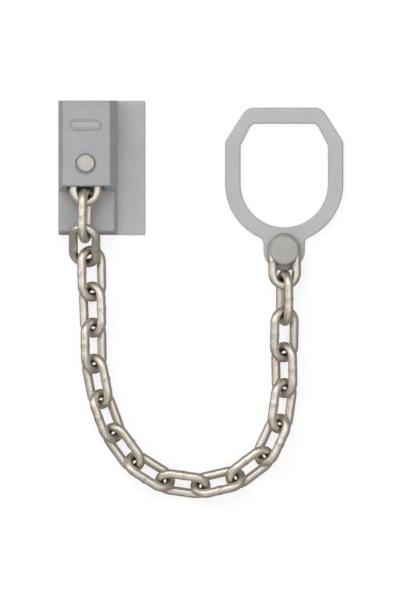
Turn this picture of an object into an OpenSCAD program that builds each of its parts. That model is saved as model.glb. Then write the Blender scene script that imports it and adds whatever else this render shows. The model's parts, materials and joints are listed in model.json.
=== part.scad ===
// Door chain guard: a stepped housing that is screwed to the door, a chain of
// nineteen welded links, and a flat pull-over ring riveted to the last link.
// The guard lies on its back face: +Z points out of the door, +Y is up, and the
// origin is the centre of the four screw holes, on the back face.

/* [Base plate] */
// Width of the base plate, side flange included
plate_w = 47.8; // [44:0.1:52]
// Height of the base plate
plate_h = 73.8; // [70:0.1:80]
// Thickness of the base plate
plate_t = 3; // [2.5:0.1:3.5]
// Screw hole spacing across the plate
screw_dx = 18; // [16:0.5:20]
// Screw hole spacing along the plate
screw_dy = 54; // [48:0.5:56]
// Screw hole diameter
screw_d = 4.5; // [3.5:0.1:5]

/* [Cover] */
// Height of the raised block above the door
block_z = 26.5; // [26.5:0.1:29]
// Height of the lower step above the door
step_z = 11.8; // [11.5:0.1:12]
// Wall thickness of the cover
wall = 2.4; // [1.8:0.1:2.6]
// Width of the slot that the chain comes out of
slot_w = 21; // [20.5:0.1:22]

/* [Anchor pin] */
// Height of the pin axis above the plate centre
pin_y = 2.4; // [2:0.1:3]
// Pin shank diameter
pin_d = 4; // [3.6:0.1:4.2]
// Pin head diameter
pin_head_d = 9.9; // [9:0.1:10.5]

/* [Chain] */
// Wire diameter
wire_d = 5; // [4.8:0.1:5]
// Inside length of a link
inner_l = 21; // [21:0.1:21.4]
// Outside width of a link
link_w = 18; // [18:0.1:18.2]
// Play at each crossing of two links
slack = 1.2; // [1:0.1:1.3]

/* [Ring] */
// Outside width of the ring
ring_w = 65; // [60:0.5:66]
// Width of the ring's band
band_w = 8.5; // [7:0.1:9]
// Thickness of the ring
ring_t = 5; // [4.8:0.1:5]
// Distance from the rivet to the top edge of the ring
ring_l = 78.4; // [74:0.1:80]
// Rivet head diameter
rivet_head_d = 15.9; // [14:0.1:17]

/* [Hidden] */
$fn = 64;
LINKS = 19;

silver = [0.67, 0.68, 0.69];
nickel = [0.75, 0.71, 0.64];
steel = [0.62, 0.62, 0.61];

// ---- housing ----
plate_left = -15.1;
plate_right = plate_left + plate_w;
corner_r = 1;
screw_sink_d = 8.4;
cover_right = 17.3;
// Draft of the cover's upright walls, on the left and on the right
draft = [0.4, 1];
// Height at which the sloping sides of the block start
slope_z = step_z - 3;
block_foot_y = -13.4;
block_face = [-12.6, 13.5];
block_face_y = [-10, plate_h / 2 - 0.2];
step_face = [-14.6, 15.8];
step_face_y = -35;
// The step runs on this far inside the block
step_overlap = 30;
// Pocket in the step, below the end of the first link
trough_r = 5.5;
trough_y = -13.2;
// Spring clips that hold the cover down on the base plate
clip_l = 24;
clip_h = 4;
clip_t = 1.2;
clip_y = -4;
clip_gap = 0.1;
clip_x = [
    plate_left + wall + draft[0] + clip_gap,
    cover_right - wall - draft[1] - clip_gap - clip_t
];
badge_size = [18, 6];
badge_y = 23.2;
badge_t = 0.6;
badge_seat = 0.4;
pin_r = pin_d / 2;
pin_head_t = 2;
pin_head_edge = 0.4;
// The pocket round the pin head, cast a little lower than the pin
pocket_d = 11.4;
pocket_depth = 1.4;
pocket_drop = 0.55;
pin_hole_play = 0.15;

// ---- chain ----
reach = inner_l + wire_d;
bow_r = (link_w - wire_d) / 2;
leg_l = reach - 2 * bow_r;
weld_d = wire_d + 0.5;
weld_l = 2.4;
lift = 0.05;
// Direction of each link along the chain, counter-clockwise from +X
heading = [-90, -91, -91, -89, -88, -89, -79, -70, -54, -32, -8, 13, 37, 65, 82, 91, 89, 90, 91];
// Turn of each link about its own length: 0 lies flat, 90 stands on edge
roll = [0, 104, 16, 146, 42, 135, 45, 135, 45, 135, 45, 135, 45, 135, 45, 135, 35, 110, 0];
// Height of the level part of the chain, where link 2 stands on the lower step
lead_gap = 0.2;
lead_z = step_z + wire_d / 2 + bow_r * sin(roll[1]) + lead_gap;
pin_play = 0.25;
lead_play = 0.7;
spacer_d = 11;
spacer_gap = 0.3;
spacer_play = 0.05;
// How far the wire of link 3 sits back from the end wire of link 2
ramp_seat = [0, 6.1, 0.8];
ramp_tilt = -43;
// How far the wire of link 4 sits back from the end wire of link 3
table_seat = [3.8, 6.9];
table_z = 6;
table_tilt = 1.5;
table_drop = 0.35;
// Play at the last crossings, where the chain climbs onto the ring
climb_play = 1.4;
climb = 0.5;
last_play = 0.4;
hook_play = 1;

// ---- ring ----
ring_r = ring_w / 2;
hole_r = ring_r - band_w;
ring_bend_y = 36.6;
shoulder = [59.6, 20.6];
inner_shoulder = [57.6, 17.8];
lug_r = 11.4;
lug_fillet = 3.5;
rivet_d = 7;
rivet_head_t = 2.4;
rivet_edge = 0.4;
rivet_play = 0.9;
rivet_tail_d = 9;
rivet_tail_t = 1;
rivet_tail_lift = 0.1;
link_gap = 1.1;

function link_name(n) = str("link_", n < 10 ? "0" : "", n);

// Unit vector of a heading in the plane and a tilt out of it
function aim(h, t) = [cos(t) * cos(h), cos(t) * sin(h), sin(t)];

// The chain's path: crossing(n) is the point where link n meets link n + 1
function lying_z() = bow_r * sin(45) + wire_d / 2 + lift;
function crossing_z(n) =
    n == 3 ? table_z + (wire_d + slack) / 2 * sin(table_tilt) :
    n == 4 ? lying_z() - table_drop :
    n >= 17 ? wire_d / 2 + bow_r * sin(roll[17]) + lift + (n == 18 ? climb : 0) :
    lying_z();
function crossing_step(n) =
    reach - wire_d - (n == 18 ? last_play : n == 17 ? climb_play : slack);
function run_tilt(n) = asin((crossing_z(n) - crossing_z(n - 1)) / crossing_step(n));
function crossing(n) =
    n == 3 ? near_wire(4) + (wire_d + slack) / 2 * aim(heading[3], table_tilt) :
    crossing(n - 1) + crossing_step(n) * aim(heading[n - 1], run_tilt(n));

// Middle, tilt and the two end wires of link n
function tilt(n) =
    n == 3 ? ramp_tilt :
    n < 3 || n == LINKS ? 0 :
    run_tilt(n);
function flat_z(p, z) = [p[0], p[1], z];
function near_wire(n) =
    n == 1 ? middle(1) - reach / 2 * aim(heading[0], 0) :
    n == 2 ? far_wire(1) + [0, wire_d + lead_play, 0] :
    n == 3 ? far_wire(2) + ramp_seat :
    n == 4 ? flat_z(far_wire(3) + [table_seat[0], table_seat[1], 0], table_z) :
    n == LINKS ? flat_z(far_wire(18) - (wire_d + hook_play) * aim(heading[18], 0), last_z()) :
    middle(n) - reach / 2 * aim(heading[n - 1], tilt(n));
function middle(n) =
    n == 1 ? [0, pin_y + pin_r + pin_play - inner_l / 2, lead_z] :
    n < 4 || n == LINKS ? near_wire(n) + reach / 2 * aim(heading[n - 1], tilt(n)) :
    (crossing(n - 1) + crossing(n)) / 2;
function far_wire(n) = middle(n) + reach / 2 * aim(heading[n - 1], tilt(n));
function last_z() = ring_t + link_gap + wire_d / 2;

// The rivet stands inside the far bow of the last link
function rivet_at() =
    flat_z(far_wire(LINKS) - (wire_d / 2 + rivet_d / 2 + rivet_play) * aim(heading[LINKS - 1], 0), 0);

// Points of a polygon whose corners are rounded by the radii r
function corner_arc(a, b, c, r) =
    let (
        u = (a - b) / norm(a - b),
        v = (c - b) / norm(c - b),
        half = acos(u * v) / 2,
        centre = b + (u + v) / norm(u + v) * r / sin(half),
        from = b + u * r / tan(half) - centre,
        to = b + v * r / tan(half) - centre,
        sweep = 180 - 2 * half,
        side = from[0] * to[1] - from[1] * to[0] > 0 ? 1 : -1,
        steps = max(2, ceil(sweep / 7.5))
    )
    [for (i = [0:steps])
        let (t = side * sweep * i / steps)
        centre + [from[0] * cos(t) - from[1] * sin(t), from[0] * sin(t) + from[1] * cos(t)]];
function rounded(p, r) =
    [for (i = [0:len(p) - 1])
        each r[i] == 0 ? [p[i]] :
        corner_arc(p[(i + len(p) - 1) % len(p)], p[i], p[(i + 1) % len(p)], r[i])];

// A block with sloping sides: profiles across X and Y, intersected
module sloped_block(x_foot, x_top, y_foot, y_top, z0, z1) {
    intersection() {
        translate([0, y_foot[1] + 1, 0])
            rotate([90, 0, 0])
            linear_extrude(y_foot[1] - y_foot[0] + 2)
            polygon([[x_foot[0], z0], [x_foot[1], z0], [x_top[1], z1], [x_top[0], z1]]);
        translate([x_foot[0] - 1, 0, 0])
            rotate([90, 0, 90])
            linear_extrude(x_foot[1] - x_foot[0] + 2)
            polygon([[y_foot[0], z0], [y_foot[1], z0], [y_top[1], z1], [y_top[0], z1]]);
    }
}

module screw_hole(x, y) {
    sink = (screw_sink_d - screw_d) / 2;
    translate([x, y, -1])
        cylinder(d = screw_d, h = plate_t + 2);
    translate([x, y, plate_t - sink - 1])
        cylinder(d1 = screw_d - 2, d2 = screw_sink_d + 2, h = sink + 2);
}

module base_plate() {
    h = plate_h / 2;
    corners = [[plate_left, -h], [plate_right, -h], [plate_right, h], [plate_left, h]];
    color(silver)
    difference() {
        linear_extrude(plate_t)
            polygon(rounded(corners, [for (c = corners) corner_r]));
        for (x = [-1, 1], y = [-1, 1])
            screw_hole(x * screw_dx / 2, y * screw_dy / 2);
        translate([0, pin_y, -1])
            cylinder(r = pin_r, h = plate_t + 2);
    }
}

module clip(x) {
    color(steel)
    translate([x, clip_y, plate_t])
        cube([clip_t, clip_l, clip_h]);
}

module cover_outside() {
    h = plate_h / 2;
    foot_x = [plate_left, cover_right];
    step_end = block_foot_y + step_overlap;
    sloped_block(foot_x, block_face, [block_foot_y, h], block_face_y, slope_z, block_z);
    sloped_block(foot_x, foot_x + [draft[0], -draft[1]], [block_foot_y, h], [block_foot_y, h],
        plate_t, slope_z);
    sloped_block(foot_x, step_face, [-h, step_end], [step_face_y, step_end], plate_t, step_z);
}

module cover_inside() {
    h = plate_h / 2;
    foot_x = [plate_left + wall, cover_right - wall];
    top_x = [block_face[0] + wall, block_face[1] - wall];
    foot_y = [block_foot_y + wall, h - wall];
    top_y = [block_face_y[0] + wall, block_face_y[1] - wall];
    sloped_block(foot_x, top_x, foot_y, top_y, slope_z, block_z - wall);
    room_x = foot_x + [draft[0], -draft[1]];
    translate([room_x[0], -h + wall, plate_t - 1])
        cube([room_x[1] - room_x[0], 2 * (h - wall), step_z - wall - plate_t + 1]);
    translate([room_x[0], foot_y[0], plate_t - 1])
        cube([room_x[1] - room_x[0], foot_y[1] - foot_y[0], slope_z - plate_t + 2]);
}

module cover() {
    color(silver)
    difference() {
        cover_outside();
        cover_inside();
        // The slot that the chain comes out of, down to the lower step
        translate([-slot_w / 2, block_foot_y - 1, step_z])
            cube([slot_w, block_face_y[0] + wall + 2 - block_foot_y, block_z - wall - step_z]);
        translate([0, trough_y, step_z - wall - 1])
            cylinder(r = trough_r, h = wall + 2);
        translate([0, pin_y, block_z - wall - 1])
            cylinder(d = pin_d + 2 * pin_hole_play, h = wall + 2);
        translate([0, pin_y - pocket_drop, block_z - pocket_depth])
            cylinder(d = pocket_d, h = pocket_depth + 1);
        translate([-badge_size[0] / 2, badge_y - badge_size[1] / 2, block_z - badge_seat])
            badge_outline(badge_seat + 1);
    }
}

module badge_outline(t) {
    w = badge_size[0];
    h = badge_size[1];
    corners = [[0, 0], [w, 0], [w, h], [0, h]];
    linear_extrude(t)
        polygon(rounded(corners, [for (c = corners) h / 2 - 0.1]));
}

module badge_blank() {
    color(silver)
    translate([-badge_size[0] / 2, badge_y - badge_size[1] / 2, block_z - badge_seat])
        badge_outline(badge_t);
}

module anchor_pin() {
    color(nickel)
    translate([0, pin_y, 0]) {
        cylinder(r = pin_r, h = block_z - pocket_depth);
        translate([0, 0, block_z - pocket_depth])
            headed(pin_head_d, pin_head_t, pin_head_edge);
    }
}

// A round head with a chamfered edge
module headed(d, t, edge) {
    cylinder(d = d, h = t - edge);
    translate([0, 0, t - edge])
        cylinder(d1 = d, d2 = d - 2 * edge, h = edge);
}

module pin_spacer() {
    top = lead_z - wire_d / 2 - spacer_gap;
    color(steel)
    translate([0, pin_y, plate_t])
        difference() {
            cylinder(d = spacer_d, h = top - plate_t);
            translate([0, 0, -1])
                cylinder(r = pin_r + spacer_play, h = top);
        }
}

// A welded oval link, lengthwise along X, with its weld on the +Y leg
module oval_link() {
    for (side = [-1, 1]) {
        translate([side * leg_l / 2, 0, 0])
            rotate([0, 0, side < 0 ? 90 : -90])
            rotate_extrude(angle = 180)
            translate([bow_r, 0])
            circle(d = wire_d);
        translate([-leg_l / 2, side * bow_r, 0])
            rotate([0, 90, 0])
            cylinder(d = wire_d, h = leg_l);
    }
    translate([-weld_l / 2, bow_r, 0])
        rotate([0, 90, 0]) {
            cylinder(d1 = wire_d, d2 = weld_d, h = weld_l / 2);
            translate([0, 0, weld_l / 2])
                cylinder(d1 = weld_d, d2 = wire_d, h = weld_l / 2);
        }
}

module chain_link(n) {
    color(nickel)
    translate(middle(n))
        rotate([0, 0, heading[n - 1]])
        rotate([0, -tilt(n), 0])
        rotate([roll[n - 1], 0, 0])
        oval_link();
}

// Ring outline, with the rivet's centre at the origin
module ring_outline() {
    side_y = shoulder[0];
    difference() {
        union() {
            translate([0, ring_bend_y])
                circle(r = ring_r, $fn = 128);
            polygon(rounded(
                [[-ring_r, ring_bend_y], [ring_r, ring_bend_y], [ring_r, side_y],
                    [shoulder[1], ring_l], [-shoulder[1], ring_l], [-ring_r, side_y]],
                [0, 0, 4, 7, 7, 4]));
            circle(r = lug_r);
            translate([-lug_r, 0])
                square([2 * lug_r, ring_bend_y / 2]);
            lug_fillets();
        }
        ring_hole();
    }
}

// Concave fillets where the lug leaves the bend
module lug_fillets() {
    cx = lug_r + lug_fillet;
    rise = sqrt(pow(ring_r + lug_fillet, 2) - cx * cx);
    cy = ring_bend_y - rise;
    share = lug_fillet / (ring_r + lug_fillet);
    touch = [cx * (1 - share), cy + rise * share];
    for (m = [0, 1])
        mirror([m, 0])
        difference() {
            polygon([[0, cy], [cx, cy], touch, [0, touch[1]]]);
            translate([cx, cy])
                circle(r = lug_fillet);
        }
}

module ring_hole() {
    top = ring_l - band_w - 0.3;
    translate([0, ring_bend_y])
        circle(r = hole_r, $fn = 128);
    polygon(rounded(
        [[-hole_r, ring_bend_y], [hole_r, ring_bend_y], [hole_r, inner_shoulder[0]],
            [inner_shoulder[1], top], [-inner_shoulder[1], top], [-hole_r, inner_shoulder[0]]],
        [0, 0, 3, 4, 4, 3]));
}

module ring() {
    color(silver)
    translate(rivet_at())
        difference() {
            linear_extrude(ring_t)
                ring_outline();
            translate([0, 0, -1])
                cylinder(d = rivet_d, h = ring_t + 2);
            translate([0, 0, -1])
                cylinder(d = rivet_tail_d, h = rivet_tail_t + 1);
        }
}

module ring_rivet() {
    head_z = last_z() + wire_d / 2 + link_gap;
    color(steel)
    translate(rivet_at()) {
        translate([0, 0, rivet_tail_lift])
            cylinder(d = rivet_tail_d, h = rivet_tail_t - rivet_tail_lift);
        translate([0, 0, rivet_tail_t])
            cylinder(d = rivet_d, h = head_z - rivet_tail_t);
        translate([0, 0, head_z])
            headed(rivet_head_d, rivet_head_t, rivet_edge);
    }
}

base_plate();
clip(clip_x[0]);  // left_clip
clip(clip_x[1]);  // right_clip
cover();
badge_blank();
anchor_pin();
pin_spacer();
for (n = [1:LINKS])
    chain_link(n);
ring();
ring_rivet();
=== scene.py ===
"""Looks of the door chain guard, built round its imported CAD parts.

Shapes are worked out in millimetres and turned into metres as they enter Blender.
Materials, lights and the camera are in metres throughout.
"""

import json
import math

import bmesh
import bpy
import numpy as np
from mathutils import Matrix, Vector, noise


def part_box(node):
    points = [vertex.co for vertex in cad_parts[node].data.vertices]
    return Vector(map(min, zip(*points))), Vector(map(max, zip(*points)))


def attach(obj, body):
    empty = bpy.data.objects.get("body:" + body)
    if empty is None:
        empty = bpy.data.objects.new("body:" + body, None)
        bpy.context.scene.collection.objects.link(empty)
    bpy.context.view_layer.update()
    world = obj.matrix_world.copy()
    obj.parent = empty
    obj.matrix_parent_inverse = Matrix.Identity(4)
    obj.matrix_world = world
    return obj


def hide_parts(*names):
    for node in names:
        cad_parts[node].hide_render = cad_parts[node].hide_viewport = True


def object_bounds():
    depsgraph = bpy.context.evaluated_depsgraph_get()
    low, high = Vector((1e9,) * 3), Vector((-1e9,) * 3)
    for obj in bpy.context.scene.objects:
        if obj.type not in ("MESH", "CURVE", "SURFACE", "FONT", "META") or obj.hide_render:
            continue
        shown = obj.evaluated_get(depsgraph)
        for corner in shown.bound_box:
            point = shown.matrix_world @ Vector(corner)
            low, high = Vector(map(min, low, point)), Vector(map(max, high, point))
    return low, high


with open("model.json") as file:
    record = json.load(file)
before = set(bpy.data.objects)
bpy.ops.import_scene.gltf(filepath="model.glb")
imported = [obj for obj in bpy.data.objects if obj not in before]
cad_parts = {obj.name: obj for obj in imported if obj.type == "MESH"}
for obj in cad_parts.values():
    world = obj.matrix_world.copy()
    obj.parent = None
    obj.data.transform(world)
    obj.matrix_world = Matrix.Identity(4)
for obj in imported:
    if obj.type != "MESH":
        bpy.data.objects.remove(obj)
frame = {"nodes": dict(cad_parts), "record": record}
cad_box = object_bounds()

MM = 0.001
NODES = frame["nodes"]
BODY_OF = {n: b for b, names in frame["record"]["behaviour"]["bodies"].items() for n in names}
LINKS = sorted(n for n in NODES if n.startswith("link_"))


# ---------------------------------------------------------------- node helpers

class Shader:
    """A material whose nodes are added one call at a time."""

    def __init__(self, name, own=False):
        self.material = bpy.data.materials.new(name)
        self.material.use_nodes = True
        self.tree = self.material.node_tree
        self.surface = self.tree.nodes["Principled BSDF"]
        if own:
            self.where = self.add("ShaderNodeAttribute", attribute_name="own").outputs["Vector"]
        else:
            self.where = self.add("ShaderNodeTexCoord").outputs["Object"]

    def add(self, kind, **settings):
        node = self.tree.nodes.new(kind)
        for key, value in settings.items():
            setattr(node, key, value)
        return node

    def wire(self, value, socket):
        """Joins an output to a socket, or sets the socket to a constant."""
        if hasattr(value, "is_output"):
            self.tree.links.new(value, socket)
        else:
            socket.default_value = value

    def stretched(self, scale):
        """The coordinates, scaled differently along each axis."""
        node = self.add("ShaderNodeMapping")
        self.wire(self.where, node.inputs["Vector"])
        node.inputs["Scale"].default_value = scale
        return node.outputs["Vector"]

    def noise(self, scale, detail, rough, vector=None):
        node = self.add("ShaderNodeTexNoise")
        self.wire(vector or self.where, node.inputs["Vector"])
        node.inputs["Scale"].default_value = scale
        node.inputs["Detail"].default_value = detail
        node.inputs["Roughness"].default_value = rough
        return node.outputs["Fac"]

    def cells(self, scale):
        node = self.add("ShaderNodeTexVoronoi")
        self.wire(self.where, node.inputs["Vector"])
        node.inputs["Scale"].default_value = scale
        return node.outputs["Distance"]

    def span(self, value, low, high, to_low=0.0, to_high=1.0):
        """The value, with low to high stretched over to_low to to_high and cut off beyond."""
        node = self.add("ShaderNodeMapRange", clamp=True)
        self.wire(value, node.inputs["Value"])
        for key, number in zip(("From Min", "From Max", "To Min", "To Max"),
                               (low, high, to_low, to_high)):
            node.inputs[key].default_value = number
        return node.outputs["Result"]

    def math(self, operation, a, b):
        node = self.add("ShaderNodeMath", operation=operation)
        self.wire(a, node.inputs[0])
        self.wire(b, node.inputs[1])
        return node.outputs[0]

    def mix(self, factor, a, b):
        node = self.add("ShaderNodeMix", data_type="RGBA")
        self.wire(factor, node.inputs[0])
        self.wire(a, node.inputs[6])
        self.wire(b, node.inputs[7])
        return node.outputs[2]

    def attribute(self, name):
        return self.add("ShaderNodeAttribute", attribute_name=name).outputs["Fac"]

    def bump(self, height, distance, strength, normal=None):
        node = self.add("ShaderNodeBump")
        self.wire(height, node.inputs["Height"])
        node.inputs["Distance"].default_value = distance
        node.inputs["Strength"].default_value = strength
        if normal is not None:
            self.wire(normal, node.inputs["Normal"])
        return node.outputs["Normal"]

    def finish(self, colour, roughness, normal, metallic, **constants):
        s = self.surface.inputs
        self.wire(colour, s["Base Color"])
        self.wire(roughness, s["Roughness"])
        self.wire(normal, s["Normal"])
        s["Metallic"].default_value = metallic
        for key, value in constants.items():
            s[key.replace("_", " ")].default_value = value
        return self.material


def rgb(r, g, b):
    return (r, g, b, 1.0)


def cast_paint(name, dark, light):
    """Sprayed aluminium-grey lacquer on a zinc casting, with fine flakes, specks and orange peel."""
    s = Shader(name)
    cloud = s.span(s.noise(75, 3.0, 0.55), 0.32, 0.68)
    colour = s.mix(cloud, dark, light)
    paler = rgb(*(1.18 * c for c in light[:3]))
    mottle = s.span(s.noise(620, 3.0, 0.6), 0.36, 0.66)
    colour = s.mix(s.math("MULTIPLY", mottle, 0.28), colour, paler)
    flakes = s.span(s.noise(3600, 1.0, 0.5), 0.35, 0.65)
    colour = s.mix(s.math("MULTIPLY", flakes, 0.20), colour, paler)
    specks = s.span(s.cells(1500), 0.04, 0.10, 1.0, 0.0)
    colour = s.mix(s.math("MULTIPLY", specks, 0.15), colour, rgb(0.20, 0.20, 0.21))
    rough = s.span(s.noise(420, 3.0, 0.6), 0.3, 0.7, 0.42, 0.56)
    peel = s.bump(s.noise(520, 2.0, 0.5), 0.00010, 0.5)
    grain = s.bump(s.noise(2600, 2.0, 0.6), 0.00004, 0.6, peel)
    return s.finish(colour, rough, grain, 0.15, Coat_Weight=0.05, Coat_Roughness=0.35)


def chain_nickel():
    """Tumbled satin nickel over welded steel wire, with grime at the welds and near-black painted shade,
    partly grime, inside the bows where links bear on each other.
    """
    s = Shader("chain_nickel_plate", own=True)
    tone = s.span(s.noise(150, 3.0, 0.55), 0.30, 0.70)
    colour = s.mix(tone, rgb(0.66, 0.595, 0.50), rgb(0.80, 0.745, 0.65))
    streaks = s.span(s.noise(1.0, 3.0, 0.6, s.stretched((110, 700, 700))), 0.38, 0.66)
    colour = s.mix(s.math("MULTIPLY", streaks, 0.22), colour, rgb(0.88, 0.84, 0.76))
    pits = s.span(s.cells(800), 0.04, 0.11, 1.0, 0.0)
    colour = s.mix(s.math("MULTIPLY", pits, 0.12), colour, rgb(0.26, 0.22, 0.17))
    # Near-black from the link's vertex attribute: real grime at the welds, painted crevice shade (partly
    # grime) inside the bows
    dirt_and_crevice_shade = s.attribute("grime_and_crevice_shade")
    patches = s.span(s.noise(650, 3.0, 0.6), 0.2, 0.6, 0.6, 1.0)
    grime_and_crevice_shade = s.math("MULTIPLY", dirt_and_crevice_shade, patches)
    colour = s.mix(grime_and_crevice_shade, colour, rgb(0.050, 0.041, 0.030))
    rough = s.span(s.noise(500, 3.0, 0.6), 0.3, 0.7, 0.33, 0.45)
    rough = s.math("ADD", rough, s.math("MULTIPLY", grime_and_crevice_shade, 0.25))
    dents = s.bump(s.noise(300, 2.0, 0.5), 0.00016, 0.45)
    fine = s.bump(s.noise(1.0, 3.0, 0.6, s.stretched((600, 2200, 2200))), 0.00002, 0.5, dents)
    return s.finish(colour, rough, fine, 1.0)


def turned_metal(name, dark, light, rough_low, rough_high, groove, metallic=1.0):
    """Metal faced off in a lathe: faint rings round the piece's own Z axis, a groove's width apart."""
    s = Shader(name, own=True)
    parts = s.add("ShaderNodeSeparateXYZ")
    s.wire(s.where, parts.inputs[0])
    x_squared = s.math("POWER", parts.outputs[0], 2.0)
    y_squared = s.math("POWER", parts.outputs[1], 2.0)
    radius = s.math("SQRT", s.math("ADD", x_squared, y_squared), 0.0)
    wobble = s.math("MULTIPLY", s.noise(160, 2.0, 0.5), 0.0009)
    turns = s.math("MULTIPLY", s.math("ADD", radius, wobble), 2 * math.pi / groove)
    rings = s.math("SINE", turns, 0.0)
    tone = s.span(s.noise(260, 3.0, 0.6), 0.3, 0.7)
    colour = s.mix(tone, dark, light)
    colour = s.mix(s.span(rings, -1.0, 1.0, 0.0, 0.10), colour, rgb(0.30, 0.29, 0.27))
    pits = s.span(s.cells(1300), 0.04, 0.12, 0.18, 0.0)
    colour = s.mix(pits, colour, rgb(0.25, 0.24, 0.22))
    rough = s.span(s.noise(900, 2.0, 0.6), 0.3, 0.7, rough_low, rough_high)
    facing = s.bump(rings, 0.000010, 0.5)
    grain = s.bump(s.noise(2200, 2.0, 0.6), 0.00003, 0.5, facing)
    return s.finish(colour, rough, grain, metallic)


def plain_steel():
    """Cold-rolled spring steel, with a faint grain across it."""
    s = Shader("plain_steel_strip")
    tone = s.span(s.noise(1.0, 3.0, 0.6, s.stretched((300, 60, 1400))), 0.35, 0.65)
    colour = s.mix(tone, rgb(0.40, 0.40, 0.39), rgb(0.54, 0.54, 0.53))
    rough = s.span(s.noise(500, 2.0, 0.5), 0.3, 0.7, 0.30, 0.42)
    return s.finish(colour, rough, s.bump(s.noise(1800, 2.0, 0.5), 0.00002, 0.5), 1.0)


# ---------------------------------------------------------------- mesh helpers

def place(obj, node, material, matrix=None):
    """Puts a new piece in the scene in place of a CAD node."""
    bpy.context.scene.collection.objects.link(obj)
    if matrix is not None:
        bake(obj.data, matrix)
    obj.data.materials.append(material)
    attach(obj, BODY_OF[node])
    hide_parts(node)
    return obj


def bake(mesh, matrix):
    """Moves a mesh to its place; each point's place before that stays in the attribute "own"."""
    before = np.empty(3 * len(mesh.vertices), np.float32)
    mesh.vertices.foreach_get("co", before)
    mesh.attributes.new("own", "FLOAT_VECTOR", "POINT").data.foreach_set("vector", before)
    mesh.transform(matrix)


def bare(mesh):
    """Takes off what a CAD mesh carries besides its shape."""
    for name in ("custom_normal", "material_index", "sharp_edge", "sharp_face"):
        if name in mesh.attributes:
            mesh.attributes.remove(mesh.attributes[name])
    while mesh.uv_layers:
        mesh.uv_layers.remove(mesh.uv_layers[0])


def smooth(mesh, angle):
    mesh.shade_smooth()
    mesh.set_sharp_from_angle(angle=math.radians(angle))


# Edges of a CAD mesh shorter than this are closed up before the others are rounded
SLIVER = 0.1
# Degrees between two faces: below the first they are one flat, above the second their edge is rounded
ONE_FLAT = 0.4
REAL_EDGE = 24


def clean_solid(node):
    """The CAD node as a bmesh with one face for each flat."""
    bm = bmesh.new()
    bm.from_mesh(NODES[node].data)
    bmesh.ops.remove_doubles(bm, verts=bm.verts, dist=2e-6)
    bmesh.ops.dissolve_limit(
        bm, angle_limit=math.radians(ONE_FLAT), use_dissolve_boundaries=False,
        verts=bm.verts, edges=bm.edges,
    )
    bmesh.ops.dissolve_degenerate(bm, dist=SLIVER * MM, edges=bm.edges)
    bmesh.ops.recalc_face_normals(bm, faces=bm.faces)
    return bm


def softened(node, name, weight_of, width, segments=3):
    """The CAD node with its edges rounded by width times weight_of(middle, edge), as on a casting.

    Widths and middles are millimetres.
    """
    bm = clean_solid(node)
    layer = bm.edges.layers.float.new("bevel_weight_edge")
    for e in bm.edges:
        if len(e.link_faces) == 2 and e.calc_face_angle(0) > math.radians(REAL_EDGE):
            middle = (e.verts[0].co + e.verts[1].co) / 2 / MM
            e[layer] = weight_of(middle, e)
    mesh = bpy.data.meshes.new(name)
    bm.to_mesh(mesh)
    bm.free()
    bare(mesh)
    smooth(mesh, 40)
    obj = bpy.data.objects.new(name, mesh)
    bevel = obj.modifiers.new("soft_edges", "BEVEL")
    bevel.limit_method = "WEIGHT"
    bevel.width = width * MM
    bevel.segments = segments
    bevel.use_clamp_overlap = False
    bevel.harden_normals = False
    flats = obj.modifiers.new("flat_faces", "WEIGHTED_NORMAL")
    flats.keep_sharp = True
    return obj


def arc_corner(a, b, c, r, steps=5):
    """Points that round the corner b of a profile by radius r."""
    a, b, c = (Vector(p) for p in (a, b, c))
    u, v = (a - b).normalized(), (c - b).normalized()
    half = u.angle(v) / 2
    reach = min(r / math.tan(half), 0.49 * (a - b).length, 0.49 * (c - b).length)
    r = reach * math.tan(half)
    centre = b + (u + v).normalized() * (r / math.sin(half))
    start, end = b + u * reach - centre, b + v * reach - centre
    points = []
    for i in range(steps + 1):
        turn = start.slerp(end, i / steps) if start.angle(end) > 1e-4 else start.normalized()
        points.append(tuple(centre + turn * r))
    return points


def rounded(corners):
    """The points of a profile given by its (radius, height, rounding) corners."""
    points = []
    for i, (r, z, rounding) in enumerate(corners):
        if rounding > 0:
            after = corners[(i + 1) % len(corners)]
            points += arc_corner(corners[i - 1][:2], (r, z), after[:2], rounding)
        else:
            points.append((r, z))
    return points


def mesh_from(bm, name):
    """Ends a bmesh, with all its faces turned outward."""
    bmesh.ops.recalc_face_normals(bm, faces=bm.faces)
    mesh = bpy.data.meshes.new(name)
    bm.to_mesh(mesh)
    bm.free()
    return mesh


def revolved(name, corners, closed, count):
    """A solid of revolution about Z in count steps.

    An open profile runs from the bottom of the axis to its top. A closed one makes a ring.
    """
    angles = [2 * math.pi * k / count for k in range(count)]
    bm = bmesh.new()
    rows = []
    for r, z in rounded(corners):
        if r < 1e-6:
            rows.append([bm.verts.new((0, 0, z * MM))])
        else:
            circle = [(r * MM * math.cos(a), r * MM * math.sin(a), z * MM) for a in angles]
            rows.append([bm.verts.new(point) for point in circle])
    next_rows = rows[1:] + rows[:1] if closed else rows[1:]
    for low, high in zip(rows, next_rows):
        for k in range(count):
            n = (k + 1) % count
            face = [low[k % len(low)], low[n % len(low)], high[n % len(high)], high[k % len(high)]]
            bm.faces.new(list(dict.fromkeys(face)))
    mesh = mesh_from(bm, name)
    smooth(mesh, 32)
    return bpy.data.objects.new(name, mesh)


# ---------------------------------------------------------------- the chain

# A link: radius of its wire, radius of a bow's centre line, and length of its straight legs
WIRE_R = 2.5
BOW_R = 6.5
LEG = 13.0
# Points round the wire
SECTIONS = 28
# Distances along a link from its middle: the bows lie beyond the first, the weld within the second
BOW_FROM = 6.4
WELD_TO = 1.3
# The weld: spread of its upset metal, spread of its seam, how far it may stand out of the wire,
# and where along the leg the welder's jaws pinched the wire
UPSET = 1.15
SEAM = 0.22
WELD_OUT = 0.24
JAW_X = 3.3


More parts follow.
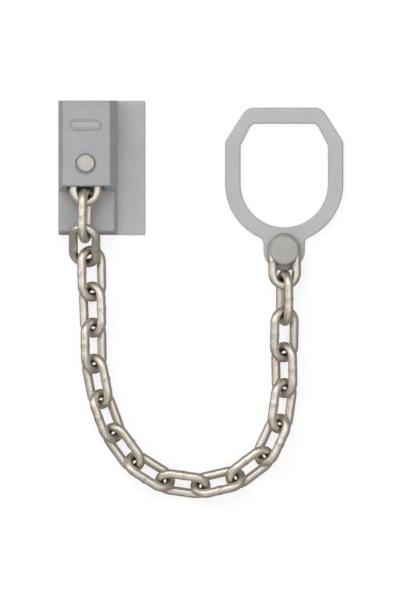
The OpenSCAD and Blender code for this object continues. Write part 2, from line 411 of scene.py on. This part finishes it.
def link_matrix(node, ahead):
    """The frame of a CAD link: X along it towards the point ahead, Y across it towards its weld.

    The directions are the main axes of its surface, and the origin is halfway between its ends.
    """
    mesh = NODES[node].data
    co = np.zeros(len(mesh.vertices) * 3, np.float32)
    mesh.vertices.foreach_get("co", co)
    co = co.reshape(-1, 3).astype(float)
    mesh.calc_loop_triangles()
    tri = np.zeros(len(mesh.loop_triangles) * 3, np.int32)
    mesh.loop_triangles.foreach_get("vertices", tri)
    a, b, c = (co[tri.reshape(-1, 3)[:, i]] for i in range(3))
    area = np.linalg.norm(np.cross(b - a, c - a), axis=1)[:, None]
    area = area / area.sum()
    centre = ((a + b + c) / 3 * area).sum(0)
    spread = np.zeros((3, 3))
    for p, share in ((a, 1), (b, 1), (c, 1), ((a + b + c) / 3, 9)):
        d = p - centre
        spread += share * (d * area).T @ d
    axes = np.linalg.eigh(spread)[1]
    across, along = axes[:, 1], axes[:, 2]
    if along @ (np.array(ahead) - centre) < 0:
        along = -along
    x = (co - centre) @ along
    centre = centre + along * (x.max() + x.min()) / 2
    x = (co - centre) @ along
    bows = np.abs(x) > BOW_FROM * MM
    y = (co - centre) @ across
    centre = centre + across * (y[bows].max() + y[bows].min()) / 2
    y = (co - centre) @ across
    weld = np.abs(x) < WELD_TO * MM
    if y[weld].max() + y[weld].min() < 0:
        across = -across
    up = np.cross(along, across)
    z = (co - centre) @ up
    centre = centre + up * (z.max() + z.min()) / 2
    m = Matrix.Identity(4)
    for i, column in enumerate((along, across, up, centre)):
        for j in range(3):
            m[j][i] = column[j]
    return m


def link_stations():
    """(point, outward direction, place) along the centre line of a link, in millimetres."""
    stations = []
    for x in np.linspace(-LEG / 2, LEG / 2, 41)[:-1]:
        stations.append(((x, BOW_R), (0, 1), "weld"))
    for t in np.linspace(90, -90, 31)[:-1]:
        c, s = math.cos(math.radians(t)), math.sin(math.radians(t))
        stations.append(((LEG / 2 + BOW_R * c, BOW_R * s), (c, s), "bow"))
    for x in np.linspace(LEG / 2, -LEG / 2, 21)[:-1]:
        stations.append(((x, -BOW_R), (0, -1), "leg"))
    for t in np.linspace(-90, -270, 31)[:-1]:
        c, s = math.cos(math.radians(t)), math.sin(math.radians(t))
        stations.append(((-LEG / 2 + BOW_R * c, BOW_R * s), (c, s), "bow"))
    return stations


def smoothstep(low, high, x):
    t = min(1.0, max(0.0, (x - low) / (high - low)))
    return t * t * (3 - 2 * t)


def link_mesh(name, seed):
    """One link: bent wire with a pinched, upset butt weld on its +Y leg."""
    shift = Vector((seed * 17.3, seed * 5.1, -seed * 9.7))
    weld_x = 0.55 * noise.noise(shift)
    lean = 0.5 * noise.noise(shift + Vector((3, 0, 0)))
    side = 2 * math.pi * noise.noise(shift + Vector((0, 7, 0)))
    size = 0.8 + 0.35 * noise.noise(shift + Vector((0, 0, 5)))
    bm = bmesh.new()
    layer = bm.verts.layers.float.new("grime_and_crevice_shade")
    rows = []
    for (px, py), (nx, ny), where in link_stations():
        row = []
        for k in range(SECTIONS):
            phi = 2 * math.pi * k / SECTIONS
            c, s = math.cos(phi), math.sin(phi)
            rough = Vector((px, py, 0)) / 2.2 + Vector((nx * c, ny * c, s)) * 1.1 + shift
            r = WIRE_R - 0.035 + 0.03 * noise.noise(rough) + 0.015 * noise.noise(rough * 3.1)
            grime_and_crevice_shade = 0.0
            if where == "weld":
                dx = px - weld_x - lean * s
                upset = math.exp(-((dx / UPSET) ** 2))
                r += 0.18 * size * upset * (1 + 0.4 * math.cos(phi - side))
                r += 0.20 * upset * noise.noise(rough * 2.6)
                wander = 0.25 * math.sin(2 * phi + side)
                seam = math.exp(-(((dx - wander) / SEAM) ** 2))
                r -= 0.07 * size * seam * (0.6 + 0.4 * math.cos(phi + side))
                grime_and_crevice_shade += 0.16 * seam + 0.08 * upset
                grime_and_crevice_shade += 0.45 * upset * smoothstep(0.15, 0.45, noise.noise(rough * 4.2))
                for jaw in (-JAW_X, JAW_X):
                    r -= 0.08 * math.exp(-((px - jaw) ** 2)) * max(0.0, c) ** 2
            if where == "bow":
                end = abs(px) - LEG / 2
                bearing = smoothstep(0.2, 0.9, end / BOW_R) * smoothstep(0.0, 0.8, -c)
                r -= 0.05 * bearing
                # Painted shade, partly grime: the inside of each bow, where the next link crosses it, is
                # darkened almost to black
                grime_and_crevice_shade += 0.95 * bearing
            grime_and_crevice_shade += 0.08 * smoothstep(0.1, 0.5, noise.noise(rough * 1.7 + Vector((0, 40, 0))))
            r = min(r, WIRE_R + (WELD_OUT if where == "weld" else 0.0))
            v = bm.verts.new(((px + nx * c * r) * MM, (py + ny * c * r) * MM, s * r * MM))
            v[layer] = min(1.0, grime_and_crevice_shade)
            row.append(v)
        rows.append(row)
    for low, high in zip(rows, rows[1:] + rows[:1]):
        for k in range(SECTIONS):
            n = (k + 1) % SECTIONS
            bm.faces.new((low[k], low[n], high[n], high[k]))
    mesh = mesh_from(bm, name)
    mesh.shade_smooth()
    return mesh


def build_chain():
    nickel = chain_nickel()
    for i, node in enumerate(LINKS):
        low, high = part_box(LINKS[i + 1] if i + 1 < len(LINKS) else "ring")
        obj = bpy.data.objects.new("welded_" + node, link_mesh("welded_" + node, i + 1))
        place(obj, node, nickel, link_matrix(node, (low + high) / 2))


# ---------------------------------------------------------------- the housing

# Height of the narrow shoulder where the cover's sides begin to slope
SHOULDER_Z = 8.8
# The edges of the pin's pocket lie nearer than this to the pin's middle
POCKET_R = 6.5
# The pin: radius of its shank, thickness of its head, and the air between it and its spacer
PIN_R = 2.0
PIN_HEAD_T = 2.0
SPACER_AIR = 0.05


def box_mm(node):
    """The low and high corner of a CAD node, in millimetres."""
    return [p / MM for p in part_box(node)]


def build_housing():
    plate_low, plate_high = box_mm("base_plate")
    cover_low, cover_high = box_mm("cover")
    pin_low, pin_high = box_mm("anchor_pin")
    pin = (pin_low + pin_high) / 2
    paint = cast_paint("housing_paint", rgb(0.358, 0.363, 0.374), rgb(0.420, 0.424, 0.434))

    def plate_weight(m, e):
        """Only the plate's outer edges are rounded, and its back less than its front."""
        on_rim = (
            min(m.x - plate_low.x, plate_high.x - m.x) < 1.2
            or min(m.y - plate_low.y, plate_high.y - m.y) < 1.2
        )
        if not on_rim:
            return 0.0
        return 1.0 if m.z > 1.5 else 0.4

    base = softened("base_plate", "base_casting", plate_weight, 0.7)
    # The cover's paint made lighter for the plate: painted light that keeps the flange bright where the
    # block's shadow falls on it
    plate_paint_painted_lighter = cast_paint("plate_paint_painted_lighter", rgb(0.430, 0.435, 0.447), rgb(0.490, 0.494, 0.505))
    place(base, "base_plate", plate_paint_painted_lighter)

    top = cover_high.z

    def cover_weight(m, e):
        """Full rounding outside, less where the shoulder, the slot or the pocket leave little room."""
        if m.z > top - 0.05:
            if math.hypot(m.x - pin.x, m.y - pin.y) < POCKET_R:
                return 0.25
            badge_seat = 15 < m.y < cover_high.y - 2 and abs(m.x) < 10
            return 0.0 if badge_seat else 1.0
        if m.z > top - 2.0:
            return 0.0
        on_shoulder = [abs(v.co.z / MM - SHOULDER_Z) < 0.2 for v in e.verts]
        if all(on_shoulder):
            return 0.2
        if any(on_shoulder):
            return 0.5 if m.y > 30 else 0.2
        # The sides lean in by less than 0.18 of their height above the plate
        outside_x = min(m.x - cover_low.x, cover_high.x - m.x) < 0.18 * max(0.0, m.z - 3) + 0.6
        outside_y = min(m.y - cover_low.y, cover_high.y - m.y) < 2.2
        # The block's front wall, which the chain's slot cuts through
        front = -14.5 < m.y < -9.5 and m.z > 8.5
        if m.z < 3.05:
            return 0.35 if outside_x or outside_y else 0.0
        if front:
            return 0.15
        return 1.0 if outside_x or outside_y else 0.0

    cover = softened("cover", "cover_casting", cover_weight, 0.75)
    place(cover, "cover", paint)
    build_badge()
    build_clips()
    build_pin(pin, pin_high.z)


def build_clips():
    """The spring clips inside the cover keep their CAD shape."""
    steel = plain_steel()
    for node in ("left_clip", "right_clip"):
        for slot in NODES[node].material_slots:
            slot.material = steel


def stadium(length, width, inset, z, steps=14):
    """Outline of a plate with round ends, centred on the origin."""
    r = width / 2 - inset
    x = length / 2 - width / 2
    points = []
    for i in range(steps + 1):
        t = math.pi * i / steps - math.pi / 2
        points.append((x + r * math.cos(t), r * math.sin(t), z))
    for i in range(steps + 1):
        t = math.pi * i / steps + math.pi / 2
        points.append((-x + r * math.cos(t), r * math.sin(t), z))
    return points


def build_badge():
    """A blank plate: a rim, a groove inside it, and a faintly crowned field."""
    low, high = box_mm("badge_blank")
    middle = (low + high) / 2
    length, width = high.x - low.x, high.y - low.y
    t = high.z - low.z
    # (inset from the outline, height): the wall, the rim, the groove inside it and the field
    levels = [
        (0, 0), (0, t - 0.45), (0.20, t - 0.30), (0.28, t - 0.06),
        (0.38, t), (0.62, t), (0.72, t - 0.08), (0.80, t - 0.36),
        (1.05, t - 0.38), (1.18, t - 0.12), (1.32, t - 0.03), (2.3, t),
    ]
    bm = bmesh.new()
    rows = []
    for inset, z in levels:
        rows.append([bm.verts.new(Vector(p) * MM) for p in stadium(length, width, inset, z)])
    for below, above in zip(rows, rows[1:]):
        for k in range(len(below)):
            n = (k + 1) % len(below)
            bm.faces.new((below[k], below[n], above[n], above[k]))
    bm.faces.new(reversed(rows[0]))
    bm.faces.new(rows[-1])
    mesh = mesh_from(bm, "badge_plate")
    smooth(mesh, 40)
    paint = cast_paint("badge_paint", rgb(0.385, 0.390, 0.402), rgb(0.450, 0.455, 0.467))
    where = Matrix.Translation(Vector((middle.x, middle.y, low.z)) * MM)
    place(bpy.data.objects.new("badge_plate", mesh), "badge_blank", paint, where)


def build_pin(pin, top):
    """The headed anchor pin, dished on top, and its spacer."""
    low, high = box_mm("anchor_pin")
    head_r = (high.x - low.x) / 2
    seat = top - PIN_HEAD_T
    corners = [
        (0, 0, 0), (PIN_R, 0, 0.3), (PIN_R, seat, 0), (head_r, seat, 0.15), (head_r, top - 0.45, 0.3),
        (head_r - 0.35, top - 0.02, 0.2), (head_r - 0.75, top, 0.1), (head_r - 1.0, top - 0.22, 0.15),
        (2.0, top - 0.16, 1.0), (0, top - 0.2, 0),
    ]
    dark, light = rgb(0.47, 0.45, 0.41), rgb(0.56, 0.54, 0.495)
    metal = turned_metal("pin_nickel_plate", dark, light, 0.36, 0.48, 0.00075)
    where = Matrix.Translation(Vector((pin.x, pin.y, 0)) * MM)
    solid = revolved("turned_anchor_pin", corners, False, 96)
    place(solid, "anchor_pin", metal, where)

    low, high = box_mm("pin_spacer")
    r = (high.x - low.x) / 2
    bore = PIN_R + SPACER_AIR
    height = high.z - low.z
    corners = [(bore, 0, 0), (r, 0, 0.4), (r, height * 0.5, 0), (r, height, 0.4), (bore, height, 0.2)]
    dark, light = rgb(0.42, 0.42, 0.41), rgb(0.55, 0.55, 0.54)
    metal = turned_metal("spacer_steel", dark, light, 0.30, 0.46, 0.0005)
    where = Matrix.Translation(Vector(((low.x + high.x) / 2, (low.y + high.y) / 2, low.z)) * MM)
    solid = revolved("turned_spacer", corners, True, 72)
    place(solid, "pin_spacer", metal, where)


# ---------------------------------------------------------------- the ring

# The rivet: radius of its shank, radius and both heights of its closed tail, thickness of its head
RIVET_R = 3.5
TAIL_R = 4.5
TAIL_LOW = 0.1
TAIL_HIGH = 1.0
RIVET_HEAD_T = 2.4


def build_ring():
    """The flat cast ring and the rivet that holds it to the last link."""
    low, high = box_mm("ring")
    rivet_low, rivet_high = box_mm("ring_rivet")
    rivet = (rivet_low + rivet_high) / 2
    thick = high.z - low.z
    paint = cast_paint("ring_paint_grey", rgb(0.465, 0.470, 0.481), rgb(0.522, 0.527, 0.537))

    def ring_weight(m, e):
        """Front and back edges are rounded, but hardly those of the rivet's hole."""
        if math.hypot(m.x - rivet.x, m.y - rivet.y) < TAIL_R + 1:
            return 0.15
        return 1.0 if m.z > thick * 0.6 or m.z < thick * 0.4 else 0.0

    ring = softened("ring", "ring_casting", ring_weight, 1.0, 4)
    place(ring, "ring", paint)

    head_r = (rivet_high.x - rivet_low.x) / 2
    top = rivet_high.z
    seat = top - RIVET_HEAD_T
    corners = [
        (0, TAIL_LOW, 0), (TAIL_R, TAIL_LOW, 0.3), (TAIL_R, TAIL_HIGH, 0), (RIVET_R, TAIL_HIGH, 0),
        (RIVET_R, seat, 0), (head_r, seat, 0.25), (head_r, top - 0.5, 0.3),
        (head_r - 0.42, top - 0.06, 0.2), (head_r - 0.62, top - 0.22, 0.08),
        (head_r - 0.85, top - 0.06, 0.15), (3.0, top - 0.02, 2.0), (0, top, 0),
    ]
    dark, light = rgb(0.40, 0.385, 0.365), rgb(0.49, 0.475, 0.45)
    metal = turned_metal("rivet_steel_grey", dark, light, 0.42, 0.56, 0.0011, 0.6)
    where = Matrix.Translation(Vector((rivet.x, rivet.y, 0)) * MM)
    solid = revolved("turned_ring_rivet", corners, False, 96)
    place(solid, "ring_rivet", metal, where)


# ---------------------------------------------------------------- studio

def build_floor(centre):
    """A white table that keeps a faint contact shadow and stays quiet in the metal's reflections."""
    half = 16.0
    just_below = -0.0001
    corners = [(-half, -half, 0), (half, -half, 0), (half, half, 0), (-half, half, 0)]
    mesh = bpy.data.meshes.new("floor")
    mesh.from_pydata(corners, [], [(0, 1, 2, 3)])
    floor = bpy.data.objects.new("floor", mesh)
    floor.location = (centre.x, centre.y, just_below)
    bpy.context.scene.collection.objects.link(floor)
    s = Shader("floor_white")
    rays = s.add("ShaderNodeLightPath").outputs
    # Painted dark reflection: glossy rays see the table far darker than it is, which draws dark rims on
    # the metal
    shade = s.mix(rays["Is Glossy Ray"], rgb(0.84, 0.84, 0.84), rgb(0.33, 0.32, 0.31))
    s.wire(shade, s.surface.inputs["Base Color"])
    s.surface.inputs["Roughness"].default_value = 0.8
    # Painted light: for camera rays the table partly glows white, which thins its shadows
    glow = s.add("ShaderNodeEmission")
    glow.inputs["Color"].default_value = rgb(1, 1, 1)
    glow.inputs["Strength"].default_value = 1.18
    mixed = s.add("ShaderNodeMixShader")
    glow_share = 0.66
    s.wire(s.math("MULTIPLY", rays["Is Camera Ray"], glow_share), mixed.inputs[0])
    s.wire(s.surface.outputs[0], mixed.inputs[1])
    s.wire(glow.outputs[0], mixed.inputs[2])
    s.wire(mixed.outputs[0], s.tree.nodes["Material Output"].inputs["Surface"])
    mesh.materials.append(s.material)


def build_world():
    """A softly lit room: brighter overhead than near the horizon, and white where the camera sees it."""
    world = bpy.data.worlds.new("studio")
    world.use_nodes = True
    bpy.context.scene.world = world
    tree = world.node_tree
    back = tree.nodes["Background"]
    direction = tree.nodes.new("ShaderNodeTexCoord")
    parts = tree.nodes.new("ShaderNodeSeparateXYZ")
    tree.links.new(direction.outputs["Generated"], parts.inputs[0])
    ramp = tree.nodes.new("ShaderNodeValToRGB")
    tree.links.new(parts.outputs[2], ramp.inputs[0])
    # (height of the direction, brightness)
    stops = [(0.0, 0.22), (0.15, 0.24), (0.35, 0.34), (0.60, 0.50), (0.80, 0.60), (1.0, 0.60)]
    ends = ramp.color_ramp.elements
    for end, (position, value) in ((ends[0], stops[0]), (ends[1], stops[-1])):
        end.position = position
        end.color = rgb(value, value, value)
    for position, value in stops[1:-1]:
        ends.new(position).color = rgb(value, value, value)
    seen = tree.nodes.new("ShaderNodeMix")
    seen.data_type = "RGBA"
    rays = tree.nodes.new("ShaderNodeLightPath")
    tree.links.new(rays.outputs["Is Camera Ray"], seen.inputs[0])
    tree.links.new(ramp.outputs[0], seen.inputs[6])
    seen.inputs[7].default_value = rgb(0.95, 0.95, 0.95)
    tree.links.new(seen.outputs[2], back.inputs["Color"])


def softbox(name, centre, offset, size, power):
    """A square soft light, offset from the part's middle and turned to it."""
    data = bpy.data.lights.new(name, "AREA")
    data.shape = "SQUARE"
    data.size = size
    data.energy = power
    light = bpy.data.objects.new(name, data)
    light.location = centre + Vector(offset)
    light.rotation_mode = "QUATERNION"
    light.rotation_quaternion = (-Vector(offset)).to_track_quat("-Z", "Y")
    light.visible_camera = False
    bpy.context.scene.collection.objects.link(light)


def build_studio(centre):
    build_floor(centre)
    build_world()
    softbox("key", centre, (-0.55, 0.75, 1.4), 1.2, 8.2)
    softbox("fill", centre, (0.55, 0.25, 1.5), 1.2, 3.6)
    softbox("low", centre, (-0.3, -1.3, 1.0), 0.9, 1.4)
    softbox("side", centre, (-1.5, 0.3, 0.45), 0.9, 3.4)


def build_camera(centre):
    """Straight above and far back: 330 mm at the chain's height fill the picture's height."""
    distance = 8.0
    shown = 0.3302
    sensor = 36
    data = bpy.data.cameras.new("camera")
    data.sensor_width = sensor
    data.lens = sensor * distance / shown
    data.clip_start, data.clip_end = 0.1, 40
    camera = bpy.data.objects.new("camera", data)
    camera.location = centre + Vector((0, 0, distance))
    bpy.context.scene.collection.objects.link(camera)
    bpy.context.scene.camera = camera


build_housing()
build_chain()
build_ring()

# The lights and the camera aim at the height of the chain
AIM_Z = 0.008
CAMERA_X = 0.063
CAMERA_Y = -0.0729
low, high = cad_box
build_studio(Vector(((low.x + high.x) / 2, (low.y + high.y) / 2, AIM_Z)))
build_camera(Vector((CAMERA_X, CAMERA_Y, AIM_Z)))
bpy.context.scene.view_settings.view_transform = "Standard"
